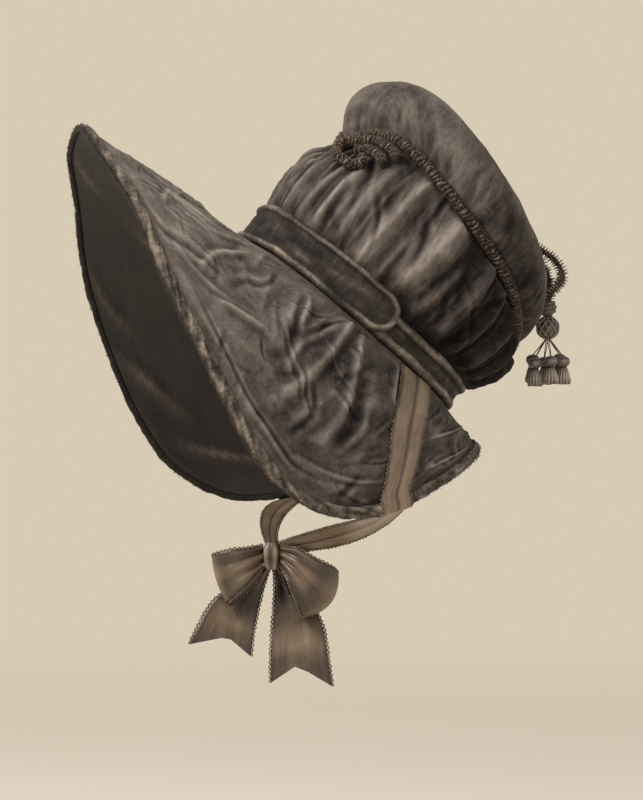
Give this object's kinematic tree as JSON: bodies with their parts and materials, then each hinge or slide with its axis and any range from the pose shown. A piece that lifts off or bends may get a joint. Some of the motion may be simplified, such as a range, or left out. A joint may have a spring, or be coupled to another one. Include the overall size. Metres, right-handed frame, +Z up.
{
  "type": "bonnet",
  "caption": "Lady's velvet bonnet with a deep flared brim, gathered puffed crown, chenille trim with a tasselled drop, and ribbon ties in a bow.",
  "frame": {"origin": "centre of the oval seam where the head goes in, between the brim and the crown", "axes": "+Z up as worn, the face looks along -Y, +X is the wearer's left"},
  "size_m": [0.2924, 0.3874, 0.452],
  "materials": {
    "velvet": "worn dark brown silk velvet",
    "velvet_edge": "rubbed and faded brown velvet on rolls and folded edges",
    "lining": "near-black smooth silk with a soft sheen",
    "chenille": "dark brown bristled chenille cord",
    "ribbon": "tan-brown satin ribbon with a looped edge",
    "silk": "greyish brown wound silk"
  },
  "bodies": {
    "root": {"brim": "velvet", "crown_side": "velvet", "crown_top": "velvet", "rim_binding": "velvet_edge", "band_strap": "velvet_edge", "band_loop": "velvet_edge", "brim_lining": "lining", "seam_chenille": "chenille", "chenille_curl": "chenille", "chenille_tuck": "chenille", "drop_strand_outer": "chenille", "drop_strand_inner": "chenille", "drop_knot": "silk", "drop_ball": "silk", "tassel_1": "silk", "tassel_2": "silk", "tassel_3": "silk", "tassel_4": "silk", "tassel_5": "silk", "tassel_6": "silk", "tie_near": "ribbon", "tie_far": "ribbon", "bow_knot": "ribbon", "bow_loop_left": "ribbon", "bow_loop_right": "ribbon", "bow_tail_left": "ribbon", "bow_tail_right": "ribbon"}
  },
  "joints": []
}
